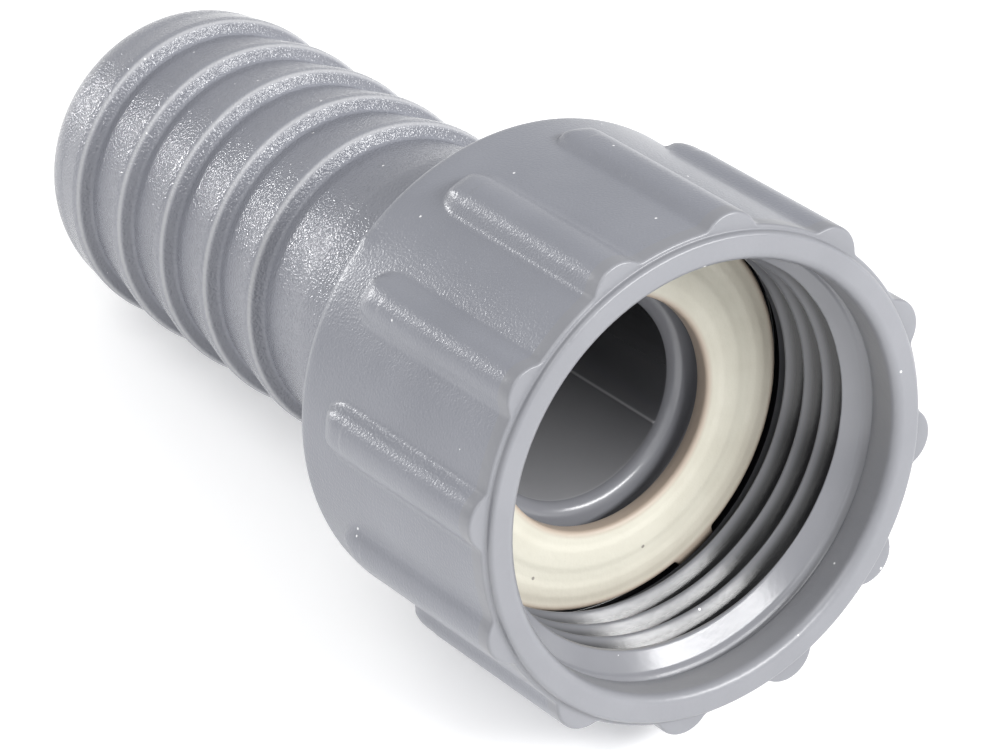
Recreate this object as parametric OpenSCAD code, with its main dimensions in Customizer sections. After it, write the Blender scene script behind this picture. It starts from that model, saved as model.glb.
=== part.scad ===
/* [Thread] */
// Major radius of the pipe thread in the nut
thread_major_r = 13.22; // [12.5:0.01:13.8]
// Minor radius of the pipe thread, the bore that the crests leave
thread_minor_r = 12.1; // [11.4:0.01:12.9]
// Distance between two turns of the thread
thread_pitch = 1.814; // [1:0.001:2.4]
// Depth behind the mouth at which the lead-in cone reaches the minor radius
lead_end = 4; // [3.6:0.1:6]
// Number of turns between the lead-in cone and the washer groove
thread_turns = 3; // [2:0.5:6]

/* [Nut] */
// Outer radius of the raised mouth ring
ring_r = 15; // [14.4:0.1:15.3]
// Height of the mouth ring above the front face of the body
ring_proud = 0.45; // [0.2:0.05:1]
// Radius of the rounded inner edge of the mouth ring
ring_inner_round = 0.65; // [0.2:0.05:1.2]
// Radius of the rounded outer edge of the mouth ring
ring_outer_round = 0.3; // [0.1:0.05:0.5]
// Play between the mouth bore and the major radius of the thread
mouth_play = 0.03; // [0:0.01:0.5]
// Depth behind the mouth of the relief groove
relief_start = 2.2; // [1.3:0.1:2.9]
// Width of the relief groove
relief_w = 0.95; // [0.4:0.05:1.5]
// Depth of the relief groove in the mouth bore
relief_h = 0.4; // [0.1:0.05:0.8]
// Radius of the body at its front face
body_front_r = 15.3; // [15:0.1:17]
// Radius of the body at its back face
body_back_r = 15.5; // [15:0.1:17]
// Radius of the rounded back edge of the body
back_round = 1; // [0.3:0.1:1.8]
// Radius of the rounded front edge of the body
front_round = 0.25; // [0.1:0.05:0.3]
// Thickness of the rear wall that holds the tail
rear_wall = 3.95; // [2:0.05:8]

/* [Grip ribs] */
// Number of ribs round the nut
rib_count = 12; // [6:1:16]
// Height of a rib over the body
rib_h = 0.9; // [0.4:0.05:2]
// Radius of the rounded top of a rib
rib_top_round = 1.9; // [1.2:0.1:2.6]
// Radius of the fillet between a rib and the body
rib_foot_round = 0.5; // [0.2:0.1:1]
// Distance from the back face of the nut to the end of a rib
rib_back_gap = 3.4; // [2:0.1:6]
// Radius of the rounded back end of a rib, seen from the side
rib_end_round = 2.7; // [1.5:0.1:4]

/* [Washer] */
// Outer radius of the washer
washer_r = 12.5; // [11.8:0.1:13]
// Radius of the hole in the washer
washer_hole_r = 7.4; // [6.9:0.1:9.5]
// Thickness of the washer
washer_t = 1.2; // [0.9:0.1:2]
// Bevel at the front edge of the hole
washer_bevel = 0.3; // [0.1:0.05:0.5]
// Bevel at the front edge of the rim of the washer
rim_bevel = 0.3; // [0.1:0.05:0.5]
// Height of the raised seal bands on the front of the washer
band_h = 0.12; // [0.05:0.01:0.3]
// Gap that the washer keeps from the face of the flange
seat_gap = 0.05; // [0.02:0.01:0.3]
// Number of retaining tabs on the rim of the washer
tab_count = 3; // [2:1:6]
// Width of a retaining tab
tab_w = 3; // [1:0.1:5]
// Reach of a retaining tab into the groove
tab_reach = 0.5; // [0.2:0.1:0.9]
// Angle of the first retaining tab
tab_angle = -67; // [-180:1:180]
// Play between the washer tabs and the floor of the groove
tab_play = 0.2; // [0.05:0.05:0.6]
// Gap between the washer and the front side of its groove
washer_gap = 1.1; // [0.2:0.1:1.5]

/* [Hose tail] */
// Radius of the barb crests
crest_r = 10.4; // [9:0.1:11.2]
// Depth of the notch behind each barb crest
barb_h = 0.95; // [0.3:0.05:1.5]
// Number of barbs
barb_count = 5; // [3:1:7]
// Distance between two barbs
barb_pitch = 5.4; // [3.5:0.05:8]
// Depth behind the mouth of the crest nearest the nut
first_crest = 33.8; // [28:0.1:45]
// Length along the axis of the steep face of each barb
barb_face = 0.35; // [0.1:0.05:0.6]
// Length of the land on each crest, from the corner of the steep face
crest_land = 0.7; // [0.6:0.05:1.4]
// Radius that rounds the corner between the steep face and the land
crest_round = 0.45; // [0.1:0.05:0.5]
// Radius of the fillet at the foot of each steep face
root_round = 0.3; // [0.1:0.05:0.8]
// Length of the nose from the last crest to the free end
nose_len = 6.9; // [5.2:0.1:10]
// Radius of the rounded nose
nose_round = 4.3; // [2:0.1:5.5]
// Drop in radius from the last crest to the rounded nose
nose_drop = 0.3; // [0:0.05:1]
// Radius of the water way through the tail
way_r = 6.6; // [4:0.1:7.6]
// Thickness of the flange that the nut pulls on
flange_t = 4; // [2:0.1:7]
// Radius of the flange
flange_r = 11.8; // [11.2:0.1:12.4]
// Radius of the counterbore in the flange face
counter_r = 8.6; // [8:0.1:9.5]
// Depth of the counterbore in the flange face
counter_depth = 1.2; // [0.4:0.1:2.5]
// Radius of the rounded shoulder between counterbore and water way
shoulder_round = 0.7; // [0.2:0.1:1.1]
// Length of the taper from the plain neck down to the first barb
taper_len = 5.7; // [3:0.1:7]
// How far the neck stays below the barb crests
neck_step = 0.15; // [0.05:0.05:0.6]
// Radial gap between the barb crests, which pass the nut when it is put on, and its rear hole
neck_gap = 0.3; // [0.15:0.05:0.8]
// Radial gap between the flange and its recess
flange_gap = 0.4; // [0.2:0.05:0.8]
// Play of the flange along the axis
end_play = 0.15; // [0.05:0.05:0.5]

/* [Rest] */
// Tilt of the axis, mouth upwards, as the part lies on two ribs and the last barb
rest_tilt = 7.63; // [0:0.05:25]

/* [View] */
// Sub-part to show

/* [Hidden] */
$fn = 96;
eps = 0.01;
thread_mid = lead_end + thread_turns * thread_pitch / 2;
mouth_r = thread_major_r + mouth_play;
washer_front = lead_end + thread_turns * thread_pitch + washer_gap;
groove_front = washer_front - washer_gap;
flange_face = washer_front + washer_t;
groove_r = washer_r + tab_reach + tab_play;
recess_r = flange_r + flange_gap;
recess_back = flange_face + flange_t + end_play;
nut_len = recess_back + rear_wall;
neck_r = crest_r - neck_step;
neck_end = max(first_crest - taper_len, nut_len + 1);
hole_r = crest_r + neck_gap;
root_r = crest_r - barb_h;
last_crest = first_crest + (barb_count - 1) * barb_pitch;
tail_end = last_crest + nose_len;
taper = atan((body_back_r - body_front_r) / nut_len);
rib_end = nut_len - rib_back_gap;
grey = [0.56, 0.57, 0.61];
cream = [0.93, 0.91, 0.84];

// Each module draws round local Z with the mouth at zero and facing +Z; the origin of the part
// is the middle of the thread on that axis
module place() {
    rotate([90 - rest_tilt, 0, 0])
        translate([0, 0, thread_mid])
            children();
}

function unit(v) = v / norm(v);

// Half of the angle between the lines from p to a and from p to b
function half_angle(p, a, b) = acos(unit(a - p) * unit(b - p)) / 2;
// Point on the line from p to a where a fillet of radius r begins
function touch(p, a, b, r) = p + unit(a - p) * r / tan(half_angle(p, a, b));
// Centre of the fillet of radius r in the corner at p
function centre(p, a, b, r) = p + unit(unit(a - p) + unit(b - p)) * r / sin(half_angle(p, a, b));

// Half section of the nut body, radius along X and depth along -Y
module nut_outline() {
    ring_in = mouth_r + ring_inner_round;
    back_r = body_back_r;
    difference() {
        polygon([
            [0, -nut_len], [back_r, -nut_len], [back_r, -nut_len + back_round],
            [body_front_r, -ring_proud - front_round], [body_front_r, -ring_proud], [0, -ring_proud]
        ]);
        translate([back_r - back_round, -nut_len - 1])
            square([back_round + 1, back_round + 1]);
        translate([body_front_r - front_round, -ring_proud - front_round])
            square([front_round + 1, front_round + 1]);
    }
    translate([back_r - back_round, -nut_len + back_round])
        circle(back_round);
    translate([body_front_r - front_round, -ring_proud - front_round])
        circle(front_round);
    translate([0, -ring_proud - 1])
        square([ring_r - ring_outer_round, ring_proud + 1]);
    translate([0, -ring_proud - 1])
        square([ring_r, ring_proud + 1 - ring_outer_round]);
    translate([ring_r - ring_outer_round, -ring_outer_round])
        circle(ring_outer_round);
}

// Half section of everything hollow inside the nut
module nut_hollow() {
    r0 = mouth_r;
    z1 = relief_start;
    z2 = relief_start + relief_w;
    edge = min(0.2, relief_w / 3);
    polygon([
        [-1, 1], [r0 + ring_inner_round, 1], [r0 + ring_inner_round, 0], [r0, -ring_inner_round],
        [r0, -z1], [r0 + relief_h, -z1 - edge], [r0 + relief_h, -z2 + edge], [r0, -z2],
        [thread_minor_r, -lead_end], [thread_minor_r, -groove_front],
        [groove_r, -groove_front], [groove_r, -flange_face],
        [recess_r, -flange_face], [recess_r, -recess_back],
        [hole_r, -recess_back], [hole_r, -nut_len - 1], [-1, -nut_len - 1]
    ]);
}

module nut_shell() {
    rotate_extrude($fn = 180)
        intersection() {
            union() {
                difference() {
                    nut_outline();
                    nut_hollow();
                }
                difference() {
                    translate([mouth_r + ring_inner_round, -ring_inner_round])
                        circle(ring_inner_round);
                    translate([mouth_r + ring_inner_round, -4])
                        square([4, 8]);
                }
            }
            translate([0, -nut_len])
                square([ring_r + 20, nut_len]);
        }
}

// Cross section of one rib: a round top with fillets running out on the body circle
module rib_section(body_r) {
    top_c = body_r + rib_h - rib_top_round;
    r1 = body_r + rib_foot_round;
    r2 = rib_top_round + rib_foot_round;
    fy = (top_c * top_c + r1 * r1 - r2 * r2) / (2 * top_c);
    fx = sqrt(r1 * r1 - fy * fy);
    k = body_r / r1;
    difference() {
        polygon([[0, top_c], [fx, fy], [fx * k, fy * k], [0, fy * k - 1], [-fx * k, fy * k], [-fx, fy]]);
        for (s = [-1, 1])
            translate([s * fx, fy])
                circle(rib_foot_round);
    }
    translate([0, top_c])
        circle(rib_top_round);
}

// Space that a rib may fill, rounded down at the back as a turned shape
module rib_envelope() {
    top = body_back_r + rib_h + 0.3;
    drop = rib_h + (body_back_r - body_front_r) / 2;
    run = sqrt(2 * rib_end_round * drop - drop * drop);
    zc = -rib_end + run;
    rc = body_front_r + drop - rib_end_round + (body_back_r - body_front_r) * rib_end / nut_len;
    rotate_extrude($fn = 180)
        union() {
            translate([0, zc])
                square([top, -zc - ring_proud]);
            intersection() {
                translate([rc, zc])
                    circle(rib_end_round);
                translate([0, -nut_len])
                    square([top, nut_len + zc]);
            }
            translate([0, -rib_end])
                square([body_front_r - 0.3, rib_end + zc + eps]);
        }
}

// One rib with a round end in plan, leaning with the taper of the body
module rib() {
    w = rib_top_round + rib_foot_round / 2;
    intersection() {
        translate([0, body_front_r, 0])
            rotate([taper, 0, 0])
                translate([0, -body_front_r, -nut_len])
                    linear_extrude(height = nut_len + 1)
                        rib_section(body_front_r);
        rib_envelope();
        rotate([-90, 0, 0])
            linear_extrude(height = body_back_r + 10)
                union() {
                    translate([-w, ring_proud])
                        square([2 * w, rib_end - ring_proud - w]);
                    translate([0, rib_end - w])
                        circle(w);
                }
        difference() {
            translate([0, 0, -nut_len])
                cylinder(h = nut_len, r = body_back_r + 10);
            translate([0, 0, -nut_len - 1])
                cylinder(h = nut_len + 2, r = mouth_r + 0.9);
        }
    }
}

module union_nut() {
    color(grey)
        place()
            union() {
                nut_shell();
                for (i = [0 : rib_count - 1])
                    rotate([0, 0, (i + 0.5) * 360 / rib_count - 90])
                        rib();
            }
}

// Foot of the steep face of barb i, counted from the nut
function foot(i) = [root_r, -first_crest - i * barb_pitch + barb_face];
// Corner of barb i between its steep face and its land, before it is rounded
function crest(i) = [crest_r, -first_crest - i * barb_pitch];
// End of the land of barb i, where its cone begins
function land(i) = [crest_r, -first_crest - i * barb_pitch - crest_land];

// Point that the cone behind the steep face of barb i runs to
function cone_top(i) = i == 0 ? [neck_r, -neck_end] : land(i - 1);

// What rounding the corner at p to radius r takes away
module corner_cut(p, a, b, r) {
    c = centre(p, a, b, r);
    difference() {
        polygon([
            c, c + unit(touch(p, a, b, r) - c) * 2 * r, c + unit(p - c) * 3 * r,
            c + unit(touch(p, b, a, r) - c) * 2 * r
        ]);
        translate(c)
            circle(r);
    }
}

module tail_outline() {
    nose_r = crest_r - nose_drop;
    nose_z = -tail_end + nose_round;
    rr = min(root_round, barb_h / 2);
    cr = min(crest_round, barb_h / 2);
    difference() {
        polygon(concat(
            [[0, -flange_face], [flange_r, -flange_face], [flange_r, -flange_face - flange_t]],
            [[neck_r, -flange_face - flange_t], [neck_r, -neck_end]],
            [for (i = [0 : barb_count - 1]) each [
                touch(foot(i), cone_top(i), crest(i), rr), touch(foot(i), crest(i), cone_top(i), rr),
                crest(i), land(i)
            ]],
            [[nose_r, nose_z], [nose_r, -tail_end], [0, -tail_end]]
        ));
        for (i = [0 : barb_count - 1])
            translate(centre(foot(i), crest(i), cone_top(i), rr))
                circle(rr);
        for (i = [0 : barb_count - 1])
            corner_cut(crest(i), foot(i), land(i), cr);
        difference() {
            translate([nose_r - nose_round, -tail_end - 1])
                square([nose_round + 1, nose_round + 1]);
            translate([nose_r - nose_round, nose_z])
                circle(nose_round);
        }
    }
}

// Half section of the water way, with the counterbore and its round shoulder
module tail_hollow() {
    shoulder = flange_face + counter_depth;
    translate([-1, -tail_end - 1])
        square([way_r + 1, tail_end + 1]);
    translate([-1, -shoulder])
        square([counter_r + 1, counter_depth + 1]);
    difference() {
        translate([-1, -shoulder - shoulder_round])
            square([way_r + shoulder_round + 1, shoulder_round + eps]);
        translate([way_r + shoulder_round, -shoulder - shoulder_round])
            circle(shoulder_round);
    }
}

module hose_tail() {
    color(grey)
        place()
            rotate_extrude($fn = 180)
                intersection() {
                    difference() {
                        tail_outline();
                        tail_hollow();
                    }
                    translate([0, -tail_end])
                        square([flange_r + 10, tail_end]);
                }
}

// Ring with a bevelled hole, two shallow seal bands and tabs on the rim
module washer() {
    span = washer_r - washer_hole_r;
    front = -washer_front;
    low = front - band_h;
    back = -flange_face + seat_gap;
    tab_t = (low - back) * 0.6;
    color(cream)
        place()
            union() {
                rotate_extrude($fn = 180)
                    polygon([
                        [washer_hole_r, back], [washer_r, back], [washer_r, low - rim_bevel],
                        [washer_r - rim_bevel, low],
                        [washer_hole_r + span * 0.88, low], [washer_hole_r + span * 0.86, front],
                        [washer_hole_r + span * 0.68, front], [washer_hole_r + span * 0.66, low],
                        [washer_hole_r + span * 0.5, low], [washer_hole_r + span * 0.48, front],
                        [washer_hole_r + span * 0.2, front], [washer_hole_r + span * 0.18, low],
                        [washer_hole_r + washer_bevel, low], [washer_hole_r, low - washer_bevel]
                    ]);
                for (i = [0 : tab_count - 1])
                    rotate([0, 0, tab_angle + i * 360 / tab_count])
                        translate([0, 0, back + (low - back) * 0.25])
                            intersection() {
                                cylinder(h = tab_t, r = washer_r + tab_reach);
                                translate([washer_r - 1, -tab_w / 2, -1])
                                    cube([tab_reach + 2, tab_w, tab_t + 2]);
                            }
            }
}

union_nut();
hose_tail();
washer();
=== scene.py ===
import math

import bpy
import numpy as np
from mathutils import Matrix, Vector


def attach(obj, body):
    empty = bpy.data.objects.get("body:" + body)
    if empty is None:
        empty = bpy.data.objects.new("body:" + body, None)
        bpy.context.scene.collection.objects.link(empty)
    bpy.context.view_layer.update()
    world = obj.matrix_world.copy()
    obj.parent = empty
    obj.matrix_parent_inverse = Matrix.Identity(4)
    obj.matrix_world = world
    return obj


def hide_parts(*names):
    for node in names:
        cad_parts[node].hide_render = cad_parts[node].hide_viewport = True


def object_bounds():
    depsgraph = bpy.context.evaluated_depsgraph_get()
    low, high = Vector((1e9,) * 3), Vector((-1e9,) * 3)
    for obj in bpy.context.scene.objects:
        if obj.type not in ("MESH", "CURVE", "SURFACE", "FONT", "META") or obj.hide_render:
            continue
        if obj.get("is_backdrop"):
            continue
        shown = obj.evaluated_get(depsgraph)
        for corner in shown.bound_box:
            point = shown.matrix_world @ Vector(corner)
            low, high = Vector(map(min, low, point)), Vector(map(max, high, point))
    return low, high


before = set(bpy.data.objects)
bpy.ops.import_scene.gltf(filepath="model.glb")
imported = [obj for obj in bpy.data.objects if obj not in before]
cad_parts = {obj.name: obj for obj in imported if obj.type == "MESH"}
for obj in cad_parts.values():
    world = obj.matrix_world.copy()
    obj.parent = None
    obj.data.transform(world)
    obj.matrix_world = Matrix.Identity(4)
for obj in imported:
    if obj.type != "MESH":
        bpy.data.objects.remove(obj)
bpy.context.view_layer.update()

print("frame loaded:", sorted(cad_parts))

# The part lies on two grip ribs and its last barb, so its axis leans back by "tilt" degrees.
# The origin is the middle of the thread, "mid" mm behind the mouth.
rest = {"tilt": 7.63, "mid": 6.721}
millimetre = 1e-3
hairline = 0.005  # mm that the visual stays inside the solid part's box
bare = 0.02  # faces with less grain than this are polished


def fromAxisFrame(x, y, z):
    # Turns axis-frame millimetres into row-frame metres: a turn about X by 90 degrees less the tilt.
    a = math.radians(90 - rest["tilt"])
    z = z + rest["mid"]
    along, up = y * math.cos(a) - z * math.sin(a), y * math.sin(a) + z * math.cos(a)
    return x * millimetre, along * millimetre, up * millimetre


def meshFromGrid(name, r, z, theta, body, node, attributes, polished=None):
    # Point (i, j) stands at radius r[i, j], height z[i, j] and angle theta[j]; both grid directions close on
    # themselves. Faces marked in "polished" take the second material.
    rows, cols = r.shape
    x, y, w = fromAxisFrame(r * np.cos(theta)[None], r * np.sin(theta)[None], z)
    points = np.stack([x, y, w], -1).reshape(-1, 3)
    i, j = np.meshgrid(np.arange(rows), np.arange(cols), indexing="ij")
    i2, j2 = (i + 1) % rows, (j + 1) % cols
    quads = np.stack([i * cols + j, i * cols + j2, i2 * cols + j2, i2 * cols + j], -1).reshape(-1, 4)
    mesh = bpy.data.meshes.new(name)
    mesh.vertices.add(len(points))
    mesh.vertices.foreach_set("co", points.astype(np.float32).ravel())
    mesh.loops.add(quads.size)
    mesh.loops.foreach_set("vertex_index", quads.astype(np.int32).ravel())
    mesh.polygons.add(len(quads))
    mesh.polygons.foreach_set("loop_start", np.arange(0, quads.size, 4, dtype=np.int32))
    mesh.polygons.foreach_set("use_smooth", np.ones(len(quads), bool))
    mesh.update(calc_edges=True)
    for key, values in attributes.items():
        layer = mesh.attributes.new(key, "FLOAT", "POINT")
        layer.data.foreach_set("value", np.broadcast_to(values, r.shape).astype(np.float32).ravel())
    piece = bpy.data.objects.new(name, mesh)
    bpy.context.scene.collection.objects.link(piece)
    if polished is not None:
        second = np.broadcast_to(polished, r.shape).astype(np.int32)
        mesh.polygons.foreach_set("material_index", second.ravel())
    even = piece.modifiers.new("evenNormals", "WEIGHTED_NORMAL")
    even.mode = "FACE_AREA"
    even.keep_sharp = False
    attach(piece, body)
    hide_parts(node)
    print(name, "points", len(points), "faces", len(quads))
    return piece


def arc(cx, cz, radius, start, end, count):
    # Points on a circle about (cx, cz), from one angle to another, in degrees.
    a = np.radians(np.linspace(start, end, count))
    return np.stack([cx + radius * np.cos(a), cz + radius * np.sin(a)], -1)


def roundedPath(points, radii, step, arcStep):
    # Walks an open polyline: each inner corner turns into a tangent arc, and straight runs are cut into steps.
    # An arc touches its runs at radius / tan(half the corner's angle) from the corner, and never past mostOfRun
    # of a run.
    sharpest, mostOfRun, fewest = 0.999999, 0.49, 3
    corners = np.asarray(points, float)
    rows = [corners[:1]]
    last = corners[0]

    def straightTo(end):
        count = max(1, round(np.hypot(*(end - last)) / step))
        return last + (end - last) * (np.arange(1, count + 1) / count)[:, None]

    for before, corner, after, wanted in zip(corners, corners[1:], corners[2:], radii):
        back, onward = before - corner, after - corner
        backLength, onwardLength = np.hypot(*back), np.hypot(*onward)
        back, onward = back / backLength, onward / onwardLength
        half = math.acos(np.clip(back @ onward, -sharpest, sharpest)) / 2
        reach = min(wanted / math.tan(half), backLength * mostOfRun, onwardLength * mostOfRun)
        radius = reach * math.tan(half)
        middle = (back + onward) / np.hypot(*(back + onward))
        centre = corner + middle * radius / math.sin(half)
        touch, leave = corner + back * reach, corner + onward * reach
        rows.append(straightTo(touch))
        start = math.atan2(*(touch - centre)[::-1])
        turn = (math.atan2(*(leave - centre)[::-1]) - start + math.pi) % (2 * math.pi) - math.pi
        count = max(fewest, round(abs(turn) * radius / arcStep))
        angles = start + turn * np.arange(1, count + 1) / count
        rows.append(np.stack([centre[0] + radius * np.cos(angles), centre[1] + radius * np.sin(angles)], -1))
        last = leave
    rows.append(straightTo(corners[-1]))
    return np.concatenate(rows)


def turned(path, cols):
    # The radii and heights of a profile, the same in every column.
    return np.repeat(path[:, :1], cols, 1), np.repeat(path[:, 1:], cols, 1)


def smoothStep(x):
    # 0 up to 0, 1 from 1 on, and 3 x squared less 2 x cubed between.
    x = np.clip(x, 0, 1)
    return x * x * (3 - 2 * x)


def grainOn(r, z, fade):
    # 1 on the outside and 0 within: a soft step over the radius times a soft step over the depth.
    outwards = smoothStep((r - fade["radius"]) / fade["over"])
    return outwards * smoothStep((-z - fade["depth"]) / fade["depthOver"])


def circleHeight(radius, offset):
    # Height of a circle above its centre, at an offset from it: the root of radius squared less offset squared.
    return np.sqrt(np.clip(radius ** 2 - offset ** 2, 0, None))


# Nut
nut = {
    "length": 19.842, "ringRadius": 15.0, "ringProud": 0.45, "ringInnerRound": 0.65, "ringOuterRound": 0.28,
    "ringFootRound": 0.1, "mouthRadius": 13.25, "frontRadius": 15.3, "backRadius": 15.5, "frontRound": 0.2,
    "backRound": 1.0, "ribCount": 12, "ribHeight": 0.9, "ribTopRound": 1.9, "ribFootRound": 0.5,
    "ribHalfWidth": 2.25, "ribEnd": 16.442, "ribEndWidth": 2.1, "ribEndRound": 2.7, "ribEndSoft": 0.12,
    "ribEndAhead": 0.6, "ribColumns": 20, "gapColumns": 10, "gripDepths": (13.6, 16.7),
    "gripRows": (17, 24, 5), "reliefStart": 2.2, "reliefEnd": 3.15, "reliefDepth": 0.4, "reliefRows": 14,
    "wallDepths": (1.5, 0.7), "leadEnd": 4.0, "grooveStart": 10.2, "grooveEnd": 11.742, "grooveRadius": 13.2,
    "recessRadius": 12.2, "recessEnd": 15.892, "holeRadius": 10.7, "wallInset": 0.3,
    "wallRounds": (0.3, 0.12, 0.12, 0.1, 0.12, 0.12),
    "threadMinor": 12.1, "threadMajor": 13.2, "threadPitch": 1.814, "threadSharp": 0.98, "threadTurn": -0.06,
    "threadStep": 0.053, "threadInset": 0.02, "firstTurn": 2, "fadeAngle": math.radians(60),
    "outsideRadius": 14.0, "grainShare": 0.4, "matteOver": 0.4,
    "grain": {"radius": 14.2, "over": 0.8, "depth": 0.65, "depthOver": 0.4},
    # Painted shade in the thread's roots and groove, and how far it reaches.
    "paintedShading": {"crest": 0.28, "below": 0.08, "over": 0.5, "ahead": 0.7, "behind": 0.1, "lead": 0.3,
               "touch": 0.01},
    "nick": {"angle": math.radians(126), "wide": 0.025, "high": 0.1, "ahead": 0.05, "radius": 13.0},
}


def ribRadius(phi, depth):
    # Radius of the grip surface: body cone, plus a round-topped rib whose fillets run out on the cone.
    # Near its back end the rib narrows along a half circle and sinks along a turned arc.
    n = nut
    body = n["frontRadius"] + (n["backRadius"] - n["frontRadius"]) * depth / n["length"]
    topCentre = body + n["ribHeight"] - n["ribTopRound"]
    footCentre = body + n["ribFootRound"]
    span = n["ribTopRound"] + n["ribFootRound"]
    footAngle = np.arccos((topCentre ** 2 + footCentre ** 2 - span ** 2) / (2 * topCentre * footCentre))
    fx, fy = footCentre * np.sin(footAngle), footCentre * np.cos(footAngle)
    share = n["ribTopRound"] / span
    touchAngle = np.arctan2(fx * share, topCentre + (fy - topCentre) * share)
    tipSpare, narrowest = 0.02, 0.002  # they keep the half circle's very tip open
    beyond = np.clip(depth - n["ribEnd"] + n["ribEndWidth"], 0, None) / (n["ribEndWidth"] + tipSpare)
    phi = np.abs(phi) / np.sqrt(np.clip(1 - beyond ** 2, narrowest, 1))
    fromFoot = footAngle - phi
    top = topCentre * np.cos(phi) + circleHeight(n["ribTopRound"], topCentre * np.sin(phi))
    foot = footCentre * np.cos(fromFoot) - circleHeight(n["ribFootRound"], footCentre * np.sin(fromFoot))
    radius = np.where(phi < touchAngle, top, np.where(phi < footAngle, foot, body))
    run = math.sqrt(2 * n["ribEndRound"] * n["ribHeight"] - n["ribHeight"] ** 2)
    start = n["ribEnd"] - run
    sink = n["ribEndRound"] - circleHeight(n["ribEndRound"], np.clip(depth - start, 0, run))
    limit = body + n["ribHeight"] - sink
    # The smaller of the two, with the crease between them softened.
    lower = 0.5 * (radius + limit - np.sqrt((radius - limit) ** 2 + n["ribEndSoft"] ** 2))
    cut = np.maximum(np.where(depth > start - n["ribEndAhead"], lower, radius), body)
    onRib = radius > body + 1e-4
    return np.where(onRib, cut, body)


def threadShare(depth, theta):
    # A right-hand groove, 0 on the crest and 1 in the root: a triangle wave of depth / pitch + theta / turn.
    # Its tips are rounded, because arcsin(k * cosine) / arcsin(k) only nears a triangle as k nears 1.
    n = nut
    wrapped = (theta + np.pi) % (2 * np.pi) - np.pi
    phase = depth / n["threadPitch"] + wrapped / (2 * np.pi) + n["threadTurn"]
    k = n["threadSharp"]
    share = (1 - np.arcsin(k * np.cos(2 * np.pi * phase)) / math.asin(k)) / 2
    # The first groove starts at firstTurn, fading in over fadeAngle; no groove is cut before it.
    first = smoothStep((np.pi - wrapped) / n["fadeAngle"])
    return share * np.where(phase < n["firstTurn"], 0, np.where(phase < n["firstTurn"] + 1, first, 1))


def plainCone(depth):
    # Radius of the lead-in: it falls in a straight line from the mouth to the thread's crests.
    n = nut
    slope = (n["mouthRadius"] - n["threadMinor"]) / (n["leadEnd"] - n["reliefEnd"])
    return np.maximum(n["threadMinor"], n["mouthRadius"] - slope * (depth - n["reliefEnd"]))


def nutAngles():
    # Columns stand close together across a rib and wide apart between ribs. Returns each column's angle about
    # the axis and its angle from the middle of the nearest rib.
    n = nut
    half = math.radians(180 / n["ribCount"])
    ribWide = n["ribHalfWidth"] / n["frontRadius"]
    dense = np.linspace(-ribWide, ribWide, n["ribColumns"] + 1)[:-1]
    sparse = np.linspace(ribWide, 2 * half - ribWide, n["gapColumns"] + 1)[:-1]
    local = np.concatenate([dense, sparse])
    middles = (np.arange(n["ribCount"]) + 0.5) * 2 * half - math.pi / 2
    fromRib = np.tile((local + half) % (2 * half) - half, n["ribCount"])
    return (middles[:, None] + local[None]).ravel(), fromRib


def mouthRing():
    # The raised ring: three quarter circles, at its inner edge, its outer edge and its foot.
    n = nut
    inner, outer, foot = n["ringInnerRound"], n["ringOuterRound"], n["ringFootRound"]
    return np.concatenate([
        arc(n["mouthRadius"] + inner, -inner, inner, 180, 90, count=12),
        arc(n["ringRadius"] - outer, -outer, outer, 90, 0, count=6),
        arc(n["ringRadius"] + foot, -n["ringProud"] + foot, foot, 180, 270, count=4),
    ])


def gripRows(phi):
    # The front face out to the ribs' outline, its rounded edge, then the grip surface up to the rear rounding.
    n = nut
    cols = len(phi)
    edge = ribRadius(phi, n["ringProud"])[None]
    f = n["frontRound"]
    inner = n["ringRadius"] + n["ringFootRound"]
    t = np.linspace(0, 1, 7)[1:-1, None]
    face = (inner + (edge - f - inner) * t, np.full((len(t), cols), -n["ringProud"]))
    a = np.radians(np.linspace(90, 0, 6))[:, None]
    rim = (edge - f + f * np.cos(a), np.repeat(-n["ringProud"] - f + f * np.sin(a), cols, 1))
    stops = [n["ringProud"] + f, *n["gripDepths"], n["length"] - n["backRound"]]
    runs = [np.linspace(start, end, count)[1:] for start, end, count in zip(stops, stops[1:], n["gripRows"])]
    depths = np.concatenate(runs)[:-1, None]
    return [face, rim, (ribRadius(phi[None], depths), np.repeat(-depths, cols, 1))]


def rearWalls():
    # The rear rounding, the rear wall and its hole, the flange's recess and the washer's groove.
    n = nut
    back = n["backRound"]
    rounding = arc(n["backRadius"] - back, -n["length"] + back, back, 0, -90, count=9)
    rear, recess, grooveEnd, grooveStart = -n["length"], -n["recessEnd"], -n["grooveEnd"], -n["grooveStart"]
    walls = roundedPath([
        (n["backRadius"] - back - n["wallInset"], rear), (n["holeRadius"], rear), (n["holeRadius"], recess),
        (n["recessRadius"], recess), (n["recessRadius"], grooveEnd), (n["grooveRadius"], grooveEnd),
        (n["grooveRadius"], grooveStart), (n["threadMinor"] + n["wallInset"], grooveStart),
    ], n["wallRounds"], step=1.3, arcStep=0.16)
    return np.concatenate([rounding, walls])


def threadRows(theta):
    # The larger of two radii: the lead-in's, and the crest's plus the share of the thread's depth.
    n = nut
    inset = n["threadInset"]
    depths = np.arange(n["grooveStart"] - inset, n["reliefEnd"] + inset, -n["threadStep"])[:, None]
    cut = n["threadMinor"] + (n["threadMajor"] - n["threadMinor"]) * threadShare(depths, theta[None])
    return np.maximum(plainCone(depths), cut), np.repeat(-depths, len(theta), 1)


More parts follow.
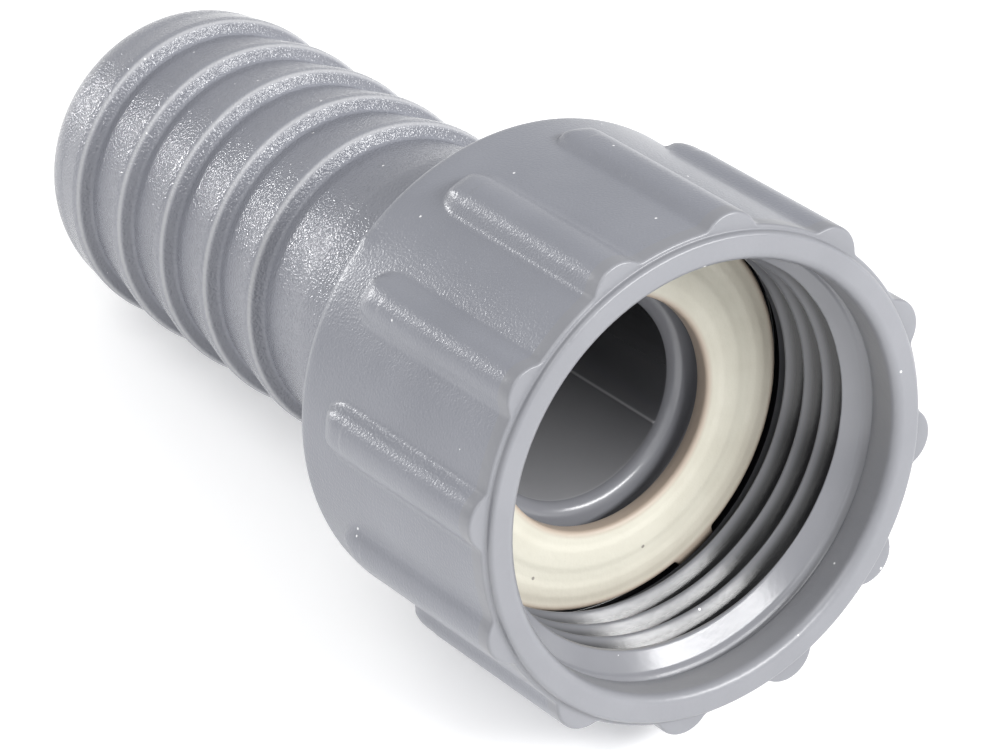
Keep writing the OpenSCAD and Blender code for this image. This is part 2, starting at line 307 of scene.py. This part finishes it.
def reliefPath():
    # A raised-cosine dip between the cone and the plain mouth, whose wall then runs up to the ring.
    n = nut
    u = np.linspace(0, 1, n["reliefRows"] + 1)[1:]
    dip = n["reliefDepth"] * (1 - np.cos(2 * np.pi * u)) / 2
    dipped = np.stack([n["mouthRadius"] + dip, -n["reliefEnd"] + (n["reliefEnd"] - n["reliefStart"]) * u], -1)
    return np.concatenate([dipped, [[n["mouthRadius"], -depth] for depth in n["wallDepths"]]])


def buildNut():
    # One closed profile turned about the axis; its grip rows and thread rows change from column to column.
    n = nut
    theta, phi = nutAngles()
    cols = len(theta)
    parts = [turned(mouthRing(), cols), *gripRows(phi), turned(rearWalls(), cols), threadRows(theta),
             turned(reliefPath(), cols)]
    r = np.concatenate([part[0] for part in parts])
    z = np.concatenate([part[1] for part in parts])
    outside = grainOn(r, z, n["grain"])
    # Painted shade darkens the roots and groove: faint on the crests, it rises with the depth below them.
    g = n["paintedShading"]
    within = (r < n["outsideRadius"]) & (-z > n["leadEnd"] - g["ahead"]) & (-z < n["grooveEnd"] + g["behind"])
    below = smoothStep((r - n["threadMinor"] - g["below"]) / g["over"])
    onLead = (-z < n["leadEnd"] + g["lead"]) & (plainCone(-z) > r - g["touch"])
    paintedShade = np.where(onLead, 0, within * (g["crest"] + (1 - g["crest"]) * below))
    # The mouth ring and the lobes' fronts are duller than the thread.
    matte = smoothStep((n["reliefStart"] + n["matteOver"] + z) / n["matteOver"]) * (r > n["threadMinor"])
    # A scrap of flash stands on the rear edge: a bell curve of the angle.
    nick = n["nick"]
    onEdge = (-z > n["length"] - n["backRound"] - nick["ahead"]) & (r > nick["radius"])
    flash = np.exp(-((theta - nick["angle"]) / nick["wide"]) ** 2)[None] * onEdge
    r = np.where(r > n["outsideRadius"], r - hairline, r) + nick["high"] * flash
    z = np.minimum(z, -hairline)
    return meshFromGrid("unionNut", r, z, theta, "nut", "union_nut",
                        {"grain": outside * n["grainShare"], "paintedShade": paintedShade, "matte": matte}, outside < bare)


# Hose tail
tail = {
    "crest": 10.4, "barbDepth": 0.95, "barbs": 5, "pitch": 5.4, "firstCrest": 33.8, "face": 0.35, "land": 0.7,
    "rootRound": 0.3, "crestRound": 0.45, "landRound": 1.2, "neck": 10.25, "neckEnd": 28.1,
    "neckRounds": (0.15, 2.0), "flangeFront": 11.742, "flangeBack": 15.742, "flangeRadius": 11.8,
    "flangeRounds": (0.2, 0.25), "frontRadii": (9.6, 9.2), "bore": 6.6, "counterRadius": 8.6,
    "counterRounds": (0.5, 0.12), "shoulder": 12.942, "shoulderRound": 0.9, "noseRadius": 10.1,
    "noseRound": 4.3, "end": 62.3, "tipInset": 0.09, "tipRound": 0.3,
    "columns": 360, "grain": {"radius": 8.6, "over": 0.6, "depth": 17.0, "depthOver": 1.0},
    "seamColumn": 321, "seamHigh": 0.05, "boreTouch": 0.02, "boreShort": 3.0,
    # Painted shade and painted light in the bore: darkest at the top, pale at the bottom, with a painted
    # highlight on the parting line.
    "boreShadeAndLight": {"mid": 0.72, "swing": 0.72, "turn": math.radians(20), "bottomLight": 0.36, "line": 0.55},
    # A painted highlight along each barb's crest, and painted shade on the face below it.
    "crestHighlightSpot": {"down": 0.0, "wide": 0.17, "share": 0.7}, "paintedFaceShade": {"down": 0.5, "wide": 0.22, "share": 0.36},
}


def tailPath():
    # Flange, neck, then for each barb its foot, crest and land, the round nose, and back through the bore,
    # the shoulder and the counterbore.
    n = tail
    front, back, shoulder = -n["flangeFront"], -n["flangeBack"], -n["shoulder"]
    startRadius, endRadius = n["frontRadii"]
    outline = [(startRadius, front), (n["flangeRadius"], front), (n["flangeRadius"], back), (n["neck"], back),
               (n["neck"], -n["neckEnd"])]
    radii = [*n["flangeRounds"], *n["neckRounds"]]
    for i in range(n["barbs"]):
        d = n["firstCrest"] + i * n["pitch"]
        foot = (n["crest"] - n["barbDepth"], -d + n["face"])
        outline += [foot, (n["crest"], -d), (n["crest"], -d - n["land"])]
        radii += [n["rootRound"], n["crestRound"], n["landRound"]]
    noseZ = -n["end"] + n["noseRound"]
    outline.append((n["noseRadius"], noseZ))
    outer = roundedPath(outline, radii, step=0.55, arcStep=0.1)
    nose = arc(n["noseRadius"] - n["noseRound"], noseZ, n["noseRound"], -2, -75, count=20)
    inner = roundedPath([
        tuple(nose[-1]), (n["bore"], -n["end"] + n["tipInset"]), (n["bore"], shoulder),
        (n["counterRadius"], shoulder), (n["counterRadius"], front), (endRadius, front),
    ], [n["tipRound"], n["shoulderRound"], *n["counterRounds"]], step=1.5, arcStep=0.07)
    return np.concatenate([outer, nose, inner[1:]])


def barbSpot(r, z, spot):
    # A bell curve of the distance from a point on each barb's face, the share "down" of the way to its foot.
    n = tail
    crests = n["firstCrest"] + np.arange(n["barbs"])[:, None, None] * n["pitch"]
    across = r - n["crest"] + spot["down"] * n["barbDepth"]
    away = np.hypot(-z[None] - crests + spot["down"] * n["face"], across).min(0)
    return spot["share"] * np.exp(-(away / spot["wide"]) ** 2)


def buildTail():
    # One closed profile turned about the axis, with a fine raised parting line along the bore.
    n = tail
    theta = np.linspace(0, 2 * np.pi, n["columns"] + 1)[:-1]
    r, z = turned(tailPath(), n["columns"])
    grain = grainOn(r, z, n["grain"])
    bore = (r < n["bore"] + n["boreTouch"]) & (-z < n["end"] - n["boreShort"])
    line = n["seamColumn"]
    r[:, line] -= n["seamHigh"] * bore[:, line]
    # Each crest's corner gets a pale painted highlight, and painted shade darkens the face below it.
    crestHighlight, paintedFaceShade = barbSpot(r, z, n["crestHighlightSpot"]), barbSpot(r, z, n["paintedFaceShade"])
    # Painted shade darkens the bore, most at the top, with painted light at the bottom, and the parting line
    # gets a pale painted highlight.
    dark = n["boreShadeAndLight"]
    wave = np.sin(theta + dark["turn"])[None]
    paintedShade = bore * (dark["mid"] + dark["swing"] * wave).clip(0, 1)
    paintedShade[:, line] = 0
    paintedLight = bore * smoothStep(-wave) * dark["bottomLight"]
    paintedLight[:, line] = bore[:, line] * dark["line"]
    attributes = {"grain": grain, "paintedShade": np.maximum(paintedShade, paintedFaceShade), "paintedLight": np.maximum(paintedLight, crestHighlight)}
    return meshFromGrid("hoseTail", r, z, theta, "tail", "hose_tail", attributes, grain < bare)


# Washer
seal = {
    "outer": 12.5, "hole": 7.4, "front": 10.542, "back": 11.692, "band": 0.06, "bevel": 0.3, "soft": 0.55,
    "bands": ((0.2, 0.48), (0.66, 0.84)), "rimRound": 0.35, "rimGap": 0.04, "backRound": 0.1, "backGap": 0.12,
    "backInset": 1.5, "frontRows": 56, "sideRows": 11, "columns": 540,
    "tabs": 3, "tabWidth": 3.0, "tabReach": 0.5, "tabAngle": -67.0, "tabSpan": (0.1, 0.95), "tabSide": 0.12,
    "holeEdge": {"start": 0.05, "over": 0.45}, "rimEdge": {"start": 0.1, "over": 0.6},
    "tan": {"share": 0.3, "wide": 2.4},
}


def washerPath():
    # Front = low + band * (sum of two soft windows of the radius), between a bevelled hole and a rounded rim.
    n = seal
    span = n["outer"] - n["hole"]
    low, back = -n["front"] - n["band"], -n["back"]
    bevel, rim, rear = n["bevel"], n["rimRound"], n["backRound"]
    x = np.linspace(n["hole"] + bevel, n["outer"] - rim, n["frontRows"])
    u = (x - n["hole"]) / span
    soft = n["soft"] / span
    window = sum(smoothStep((u - start) / soft + 0.5) * smoothStep((end - u) / soft + 0.5)
                 for start, end in n["bands"])
    side = np.linspace(low - rim - n["rimGap"], back + n["backGap"], n["sideRows"])
    path = np.concatenate([
        arc(n["hole"] + bevel, low - bevel, bevel, 180, 95, count=7),
        np.stack([x, low + n["band"] * window], -1),
        arc(n["outer"] - rim, low - rim, rim, 85, 0, count=7),
        np.stack([np.full(n["sideRows"], n["outer"]), side], -1),
        arc(n["outer"] - rear, back + rear, rear, -5, -90, count=4),
        [[n["outer"] - n["backInset"], back], [n["hole"] + n["backInset"], back]],
        arc(n["hole"] + rear, back + rear, rear, -90, -180, count=4),
        [[n["hole"], (back + low - bevel) / 2]],
    ])
    return path[::-1]


def buildWasher():
    # A turned ring whose rim swells into tabs: a share of the rim times a soft window of the way round it.
    n = seal
    theta = np.linspace(0, 2 * np.pi, n["columns"] + 1)[:-1]
    turn = 2 * np.pi / n["tabs"]
    away = np.abs((theta - math.radians(n["tabAngle"]) + turn / 2) % turn - turn / 2) * n["outer"]
    tab = smoothStep((n["tabWidth"] / 2 + n["tabSide"] / 2 - away) / n["tabSide"])
    rings, z = turned(washerPath(), n["columns"])
    high = n["back"] - n["front"] - n["band"]
    tabLow, tabHigh = (high * share - n["back"] for share in n["tabSpan"])
    onRim = smoothStep((rings - n["outer"] + n["rimRound"]) / n["rimRound"]) * (z > tabLow) * (z < tabHigh)
    r = rings + onRim * tab[None] * n["tabReach"]
    # "edge" rises over both bevels and the rim, to paint shade there, and slowly over the outer band, to tint
    # it tan.
    hole, rim, tan = n["holeEdge"], n["rimEdge"], n["tan"]
    inward = smoothStep((rings - n["hole"] - hole["start"]) / hole["over"])
    edge = 1 - inward * smoothStep((n["outer"] - rim["start"] - rings) / rim["over"])
    edge = np.maximum(edge, tan["share"] * smoothStep((rings - n["outer"] + tan["wide"]) / tan["wide"]))
    return meshFromGrid("sealRing", r, z, theta, "nut", "washer", {"edge": edge})


# Materials. A pair in "rough" or "pits" holds the values where the attribute in "blend" is 0 and 1.
plastics = {
    "greyGrained": {"dark": (0.19, 0.197, 0.225), "light": (0.214, 0.221, 0.25), "blend": "grain",
                    "rough": (0.37, 0.14), "pits": (0.0, 1.0), "pitScale": 6000, "pitDetail": 1,
                    "pitHeight": 0.000072, "ior": 1.52},
    "greyPolished": {"dark": (0.186, 0.19, 0.208), "light": (0.211, 0.215, 0.234), "blend": "matte",
                     "rough": (0.19, 0.3), "pits": (0.25, 0.75), "pitScale": 2400, "pitDetail": 1,
                     "pitHeight": 0.00002, "ior": 1.6},
}
finish = {
    "driftScale": 120, "driftDetail": 4, "driftStops": (0.35, 0.65), "wear": 0.08,
    # The tones of the painted shade and the painted light.
    "paintedShading": (0.012, 0.012, 0.014), "paintedLight": (0.6, 0.6, 0.61),
    "dust": {"tone": (0.75, 0.75, 0.76), "scale": 520, "size": 0.042, "rare": 0.45},
}
rubber = {
    # The "edge" tone is painted shade on the bevels and rim, and a tan tint over the outer band.
    "dark": (0.59, 0.566, 0.478), "light": (0.67, 0.65, 0.56), "edge": (0.46, 0.38, 0.31), "rough": 0.41,
    "driftScale": 220, "driftDetail": 5, "driftStops": (0.25, 0.6),
    "pitScale": 3000, "pitDetail": 2, "pitHeight": 0.0001, "pits": 0.15,
    "specks": {"tone": (0.3, 0.28, 0.25), "scale": 330, "size": 0.045, "rare": 0.62},
}


def addNode(material, kind, inputs=None, **settings):
    # Adds one shader node; inputs maps a socket name to a constant or to another node's output.
    tree = material.node_tree
    node = tree.nodes.new("ShaderNode" + kind)
    for key, value in settings.items():
        setattr(node, key, value)
    for key, value in (inputs or {}).items():
        if isinstance(value, bpy.types.NodeSocket):
            tree.links.new(value, node.inputs[key])
        else:
            node.inputs[key].default_value = value
    return node


def newMaterial(name):
    material = bpy.data.materials.new(name)
    material.use_nodes = True
    return material, material.node_tree.nodes["Principled BSDF"]


def noise(material, coords, scale, detail):
    return addNode(material, "TexNoise", {"Vector": coords, "Scale": scale, "Detail": detail}).outputs["Fac"]


def attribute(material, name):
    return addNode(material, "Attribute", attribute_name=name).outputs["Fac"]


def multiplyAdd(material, value, factor, extra):
    # value * factor + extra
    return addNode(material, "Math", {0: value, 1: factor, 2: extra}, operation="MULTIPLY_ADD").outputs[0]


def ramp(material, source, stops, tones):
    # Blends between two tones as the source goes from the first stop to the second.
    node = addNode(material, "ValToRGB", {"Fac": source})
    for element, place, tone in zip(node.color_ramp.elements, stops, tones):
        element.position = place
        element.color = (*tone, 1)
    return node.outputs["Color"]


def mixTone(material, share, tone, color):
    # Blends a tone towards one flat colour by a share from 0 to 1.
    tree = material.node_tree
    mix = tree.nodes.new("ShaderNodeMix")
    mix.data_type = "RGBA"
    shareIn, toneIn, colorIn = (mix.inputs[i] for i in (0, 6, 7))
    tree.links.new(share, shareIn)
    tree.links.new(tone, toneIn)
    colorIn.default_value = (*color, 1)
    return mix.outputs[2]


def specks(material, coords, tone, kind):
    # Sparse round dots: cells of a Voronoi pattern whose random tone passes "rare" keep a dot of radius "size".
    cells = addNode(material, "TexVoronoi", {"Vector": coords, "Scale": kind["scale"]})
    near = addNode(material, "Math", {0: cells.outputs["Distance"], 1: kind["size"]}, operation="LESS_THAN")
    chosen = addNode(material, "Math", {0: cells.outputs["Color"], 1: kind["rare"]}, operation="GREATER_THAN")
    dots = addNode(material, "Math", {0: near.outputs[0], 1: chosen.outputs[0]}, operation="MULTIPLY")
    return mixTone(material, dots.outputs[0], tone, kind["tone"])


def finishSurface(material, shader, coords, kind, tone, strength, rough, drift):
    # Joins the tone, the pits' bump and the roughness, which the slow drift varies a little.
    link = material.node_tree.links.new
    link(tone, shader.inputs["Base Color"])
    height = noise(material, coords, kind["pitScale"], kind["pitDetail"])
    bump = addNode(material, "Bump", {"Height": height, "Distance": kind["pitHeight"], "Strength": strength})
    link(bump.outputs["Normal"], shader.inputs["Normal"])
    link(multiplyAdd(material, drift, finish["wear"], rough), shader.inputs["Roughness"])


def plasticMaterial(name):
    # Moulded plastic: slow colour drift under a satin gloss, painted highlights and painted shade, dust and
    # fine pits.
    # On grained faces pits and gloss fade out where "grain" does; smooth faces are duller where "matte" is.
    kind = plastics[name]
    material, shader = newMaterial(name)
    coords = addNode(material, "TexCoord").outputs["Object"]
    drift = noise(material, coords, finish["driftScale"], finish["driftDetail"])
    tone = ramp(material, drift, finish["driftStops"], (kind["dark"], kind["light"]))
    # Painted shade, darkening the tone towards near black.
    tone = mixTone(material, attribute(material, "paintedShade"), tone, finish["paintedShading"])
    # Painted light and painted highlights, paling the tone towards light grey.
    tone = mixTone(material, attribute(material, "paintedLight"), tone, finish["paintedLight"])
    tone = specks(material, coords, tone, finish["dust"])
    share = attribute(material, kind["blend"])
    strength, rough = (multiplyAdd(material, share, end - start, start)
                       for start, end in (kind["pits"], kind["rough"]))
    finishSurface(material, shader, coords, kind, tone, strength, rough, drift)
    shader.inputs["IOR"].default_value = kind["ior"]
    return material


def creamMaterial(name):
    # Soft cream rubber: a warm tone with slow mottling, painted shade at its edges, and a few specks.
    material, shader = newMaterial(name)
    coords = addNode(material, "TexCoord").outputs["Object"]
    drift = noise(material, coords, rubber["driftScale"], rubber["driftDetail"])
    tone = ramp(material, drift, rubber["driftStops"], (rubber["dark"], rubber["light"]))
    # Painted shade on the bevels and rim, and a tan tint over the outer band.
    tone = mixTone(material, attribute(material, "edge"), tone, rubber["edge"])
    tone = specks(material, coords, tone, rubber["specks"])
    finishSurface(material, shader, coords, rubber, tone, rubber["pits"], rubber["rough"], drift)
    return material


greys = [plasticMaterial(name) for name in plastics]
cream = creamMaterial("creamRubber")
for build, materials in ((buildNut, greys), (buildTail, greys), (buildWasher, [cream])):
    piece = build()
    for material in materials:
        piece.data.materials.append(material)
print("pieces built")

# Floor, light and camera
studio = {
    "floorSize": 1.6, "floorTone": (0.93, 0.93, 0.93), "floorRough": 0.9, "floorGlow": 0.25, "ambient": 0.7,
    "aim": (0, 0.02, 0),
}
lights = {
    "back": {"place": (-0.2, 0.57, 0.11), "size": (0.075, 0.075), "radiance": 56.0, "roll": 0.0},
    "front": {"place": (0.235, -0.47, 0.33), "size": (0.5, 0.13), "radiance": 21.0, "roll": -12.0},
    "top": {"place": (-0.25, -0.1, 0.5), "size": (0.3, 0.3), "radiance": 3.0, "roll": 0.0},
    "fill": {"place": (-0.35, -0.4, 0.3), "size": (0.4, 0.4), "radiance": 0.6, "roll": 0.0},
}
view = {
    "aim": (-0.000993, 0.0134345, -0.0026426), "distance": 0.26986, "heading": -31.8207, "height": 36.707,
    "roll": 4.765, "lens": 161.92, "sensor": 36.0, "clip": 0.01,
}
white = (1, 1, 1, 1)


def buildFloor(low):
    # A square sheet that touches the lowest points of the part.
    s = studio["floorSize"] / 2
    mesh = bpy.data.meshes.new("floor")
    mesh.from_pydata([(-s, -s, low), (s, -s, low), (s, s, low), (-s, s, low)], [], [(0, 1, 2, 3)])
    floor = bpy.data.objects.new("floor", mesh)
    bpy.context.scene.collection.objects.link(floor)
    material, shader = newMaterial("paleFloor")
    shader.inputs["Base Color"].default_value = (*studio["floorTone"], 1)
    shader.inputs["Roughness"].default_value = studio["floorRough"]
    shader.inputs["Emission Color"].default_value = white
    shader.inputs["Emission Strength"].default_value = studio["floorGlow"]
    mesh.materials.append(material)
    floor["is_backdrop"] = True


def addLight(name, place, size, radiance, roll):
    # A flat softbox of pi * width * height * radiance watts faces the part, then rolls about its own axis.
    lamp = bpy.data.lights.new(name, "AREA")
    lamp.shape = "RECTANGLE"
    lamp.size, lamp.size_y = size
    lamp.energy = math.pi * size[0] * size[1] * radiance
    light = bpy.data.objects.new(name, lamp)
    facing = (Vector(studio["aim"]) - Vector(place)).to_track_quat("-Z", "Y").to_matrix().to_4x4()
    rolled = facing @ Matrix.Rotation(math.radians(roll), 4, "Z")
    light.matrix_world = Matrix.Translation(place) @ rolled
    bpy.context.scene.collection.objects.link(light)


def addAmbient():
    # Even white light from all round.
    world = bpy.data.worlds.new("studio")
    bpy.context.scene.world = world
    world.use_nodes = True
    background = world.node_tree.nodes["Background"]
    background.inputs["Color"].default_value = white
    background.inputs["Strength"].default_value = studio["ambient"]


def addCamera():
    # Looks at the aim point along a heading and a downward angle, then rolls about its own axis.
    h, e, roll = (math.radians(view[key]) for key in ("heading", "height", "roll"))
    forward = np.array([-math.sin(h) * math.cos(e), math.cos(h) * math.cos(e), -math.sin(e)])
    right = np.array([math.cos(h), math.sin(h), 0.0])
    up = np.cross(right, forward) * math.cos(roll) + right * math.sin(roll)
    place = np.array(view["aim"]) - forward * view["distance"]
    data = bpy.data.cameras.new("camera")
    data.lens = view["lens"]
    data.sensor_width = view["sensor"]
    data.clip_start = view["clip"]
    camera = bpy.data.objects.new("camera", data)
    rows = np.eye(4)
    rows[:3] = np.stack([np.cross(forward, up), up, -forward, place], -1)
    camera.matrix_world = Matrix(rows.tolist())
    bpy.context.scene.collection.objects.link(camera)
    bpy.context.scene.camera = camera


buildFloor(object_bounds()[0][2])
for name, settings in lights.items():
    addLight(name, **settings)
addAmbient()
addCamera()
bpy.context.scene.view_settings.view_transform = "Standard"
print("stage set")
